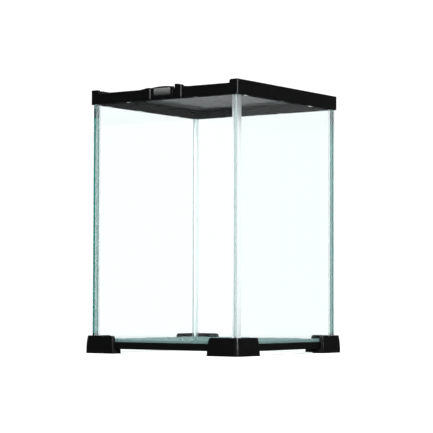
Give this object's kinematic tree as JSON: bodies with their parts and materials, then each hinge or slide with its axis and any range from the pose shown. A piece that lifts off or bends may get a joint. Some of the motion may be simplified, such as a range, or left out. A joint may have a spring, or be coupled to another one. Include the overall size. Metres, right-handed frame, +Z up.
{
  "type": "reptile terrarium",
  "caption": "Upright glass terrarium with a hinged mesh lid, a latch plate at the front of its rim, a base frame and corner feet.",
  "frame": {"origin": "on the ground, under the middle of the terrarium", "axes": "+Z up; the front, with the latch plate, faces -Y; +X to the right seen from the front"},
  "size_m": [0.2134, 0.2134, 0.3],
  "materials": {
    "clear_glass": "clear float glass with a green tint in its edges",
    "silicone": "translucent cured silicone, smooth",
    "black_plastic": "moulded black plastic, fine satin texture",
    "gloss_badge": "smooth glossy black plastic, bare",
    "mesh_wire": "dulled aluminium wire, flattened and woven",
    "steel": "bright drawn steel"
  },
  "bodies": {
    "tank": {"front_glass": "clear_glass", "rear_glass": "clear_glass", "left_glass": "clear_glass", "right_glass": "clear_glass", "floor_glass": "clear_glass", "seam_front_left": "silicone", "seam_front_right": "silicone", "seam_rear_left": "silicone", "seam_rear_right": "silicone", "floor_seam": "silicone", "base_frame": "black_plastic", "base_bedding": "silicone", "foot_front_left": "black_plastic", "foot_front_right": "black_plastic", "foot_rear_left": "black_plastic", "foot_rear_right": "black_plastic", "top_frame": "black_plastic", "top_bedding": "silicone", "hinge_pin": "steel"},
    "lid": {"lid_frame": "black_plastic", "lid_mesh": "mesh_wire", "mesh_retainer": "black_plastic", "retainer_screws": "steel", "latch_pin": "steel", "latch_spring": "steel"},
    "latch": {"latch_plate": "black_plastic", "latch_badge": "gloss_badge"}
  },
  "joints": [
    {"name": "lid_hinge", "type": "hinge", "parent": "tank", "child": "lid", "pos_m": [0, 0.1013, 0.297], "axis": [-1, 0, 0], "range_deg": [0, 105]},
    {"name": "latch_pivot", "type": "hinge", "parent": "lid", "child": "latch", "pos_m": [0.0006, -0.101, 0.2957], "axis": [-1, 0, 0], "range_deg": [0, 30], "stiffness_Nm_per_rad": 0.0005, "springref_deg": -20.05, "deforming": ["latch_spring"]}
  ]
}
